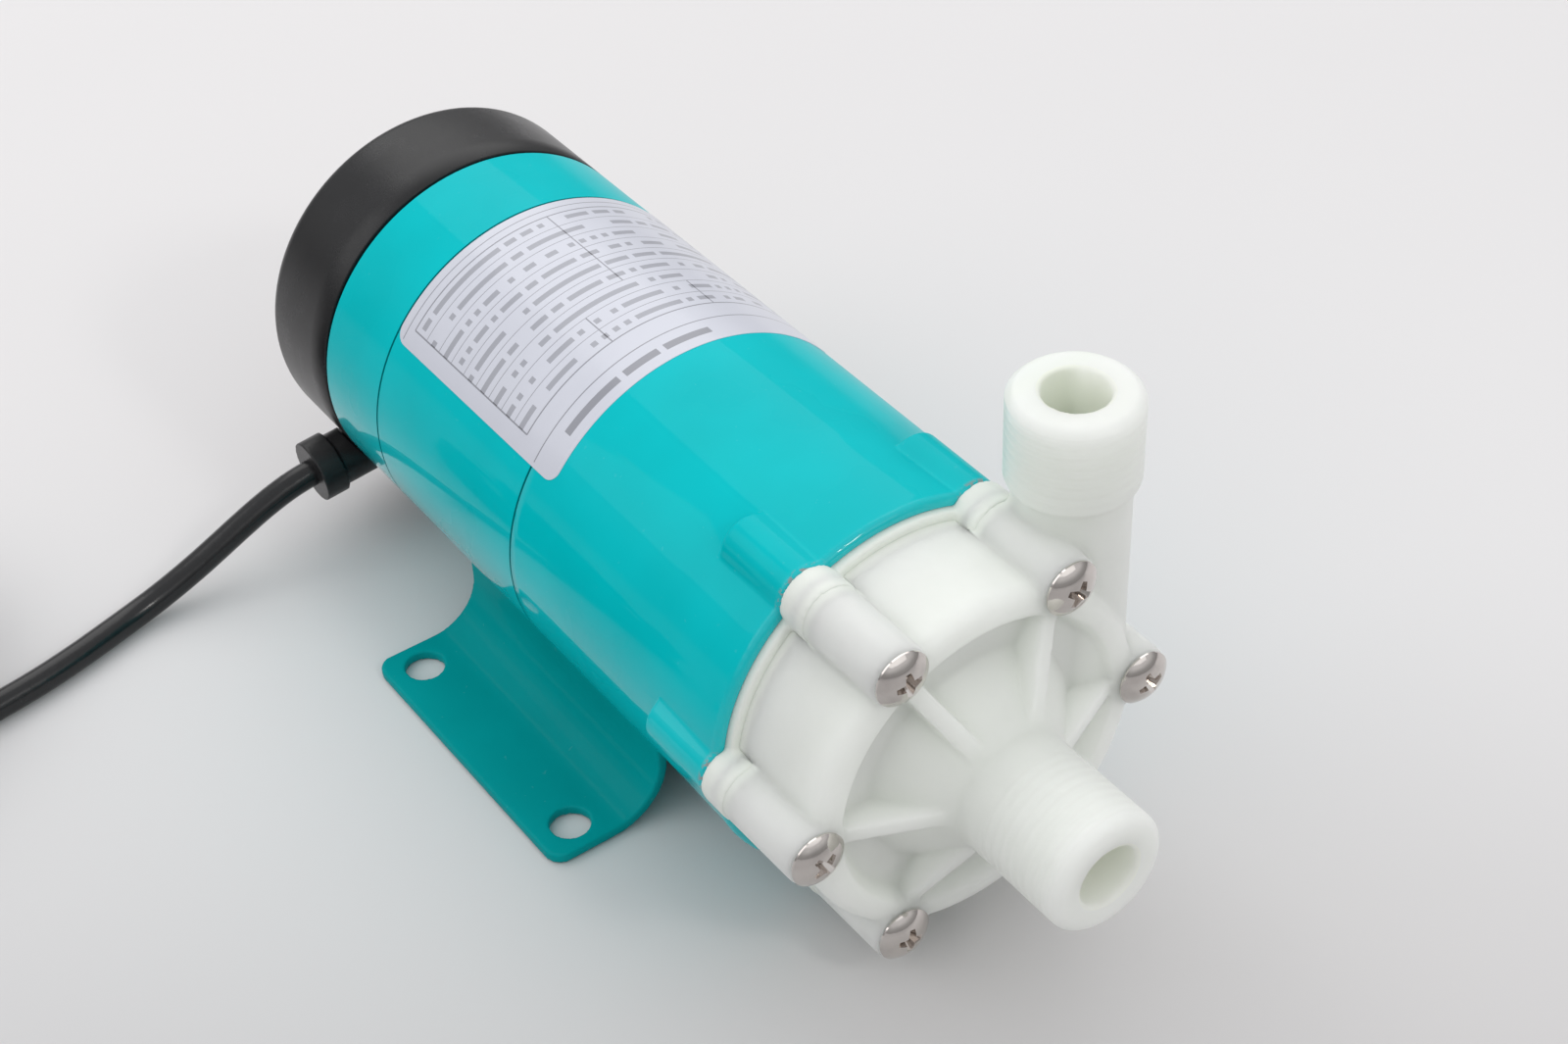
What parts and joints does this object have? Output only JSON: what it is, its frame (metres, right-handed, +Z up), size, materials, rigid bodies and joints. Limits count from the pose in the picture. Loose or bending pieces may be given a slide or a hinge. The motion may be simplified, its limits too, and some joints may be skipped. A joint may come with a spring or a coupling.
{
  "type": "magnetic drive pump",
  "caption": "Seal-less centrifugal pump: plastic head with threaded inlet and outlet, magnet coupled to a round capacitor motor on a pressed steel foot with a mains lead.",
  "frame": {"origin": "on the floor in the middle of the four foot holes, under the pump axis", "axes": "+Z up, +Y along the pump axis from the inlet to the rear cover, +X to the right seen from the inlet"},
  "size_m": [0.2173, 0.2517, 0.0913],
  "materials": {
    "painted_teal": "gloss enamel",
    "foot_paint": "semi-gloss enamel",
    "pump_plastic": "satin moulded, slightly translucent",
    "black_plastic": "satin moulded",
    "grey_plastic": "moulded",
    "seal_rubber": "smooth",
    "lead_rubber": "smooth, slightly glossy",
    "stainless_screw": "bright",
    "plain_steel": "ground",
    "lamination_steel": "stacked sheet",
    "cast_aluminium": "die cast",
    "copper_wire": "varnished winding",
    "magnet": "sintered",
    "carbon": "carbon filled",
    "ceramic": "ground ceramic",
    "tie_plastic": "moulded",
    "pin_brass": "plated"
  },
  "bodies": {
    "root": {"front_casing": "pump_plastic", "rear_casing": "pump_plastic", "casing_o_ring": "seal_rubber", "casing_screws": "stainless_screw", "spindle": "ceramic", "front_thrust_ring": "ceramic", "rear_thrust_ring": "ceramic", "motor_bracket": "painted_teal", "stator_frame": "painted_teal", "rear_end_shield": "painted_teal", "rear_cover": "black_plastic", "cover_screws": "stainless_screw", "tie_bolts": "plain_steel", "stator_core": "lamination_steel", "stator_windings": "copper_wire", "run_capacitor": "grey_plastic", "terminal_block": "grey_plastic", "bearing_outer_rings": "plain_steel", "bearing_balls": "plain_steel", "wave_washer": "plain_steel", "foot": "foot_paint", "foot_screws": "stainless_screw", "cable_gland": "lead_rubber", "power_cord": "lead_rubber", "cord_coil": "lead_rubber", "cord_tie": "tie_plastic", "mains_plug": "lead_rubber", "plug_pins": "pin_brass"},
    "rotor": {"motor_shaft": "plain_steel", "rotor_core": "lamination_steel", "rotor_end_rings": "cast_aluminium", "bearing_inner_rings": "plain_steel", "drive_yoke": "plain_steel", "drive_magnet": "magnet", "yoke_set_screw": "plain_steel"},
    "impeller": {"impeller": "pump_plastic", "magnet_capsule": "pump_plastic", "driven_magnet": "magnet", "impeller_bushing": "carbon"}
  },
  "joints": [
    {"name": "rotor_spin", "type": "hinge", "parent": "root", "child": "rotor", "pos_m": [0, 0, 0.039], "axis": [0, 1, 0], "continuous": true},
    {"name": "impeller_spin", "type": "hinge", "parent": "root", "child": "impeller", "pos_m": [0, 0, 0.039], "axis": [0, 1, 0], "continuous": true}
  ],
  "couplings": [
    {"joint": "impeller_spin", "follows": "rotor_spin", "ratio": 1}
  ]
}
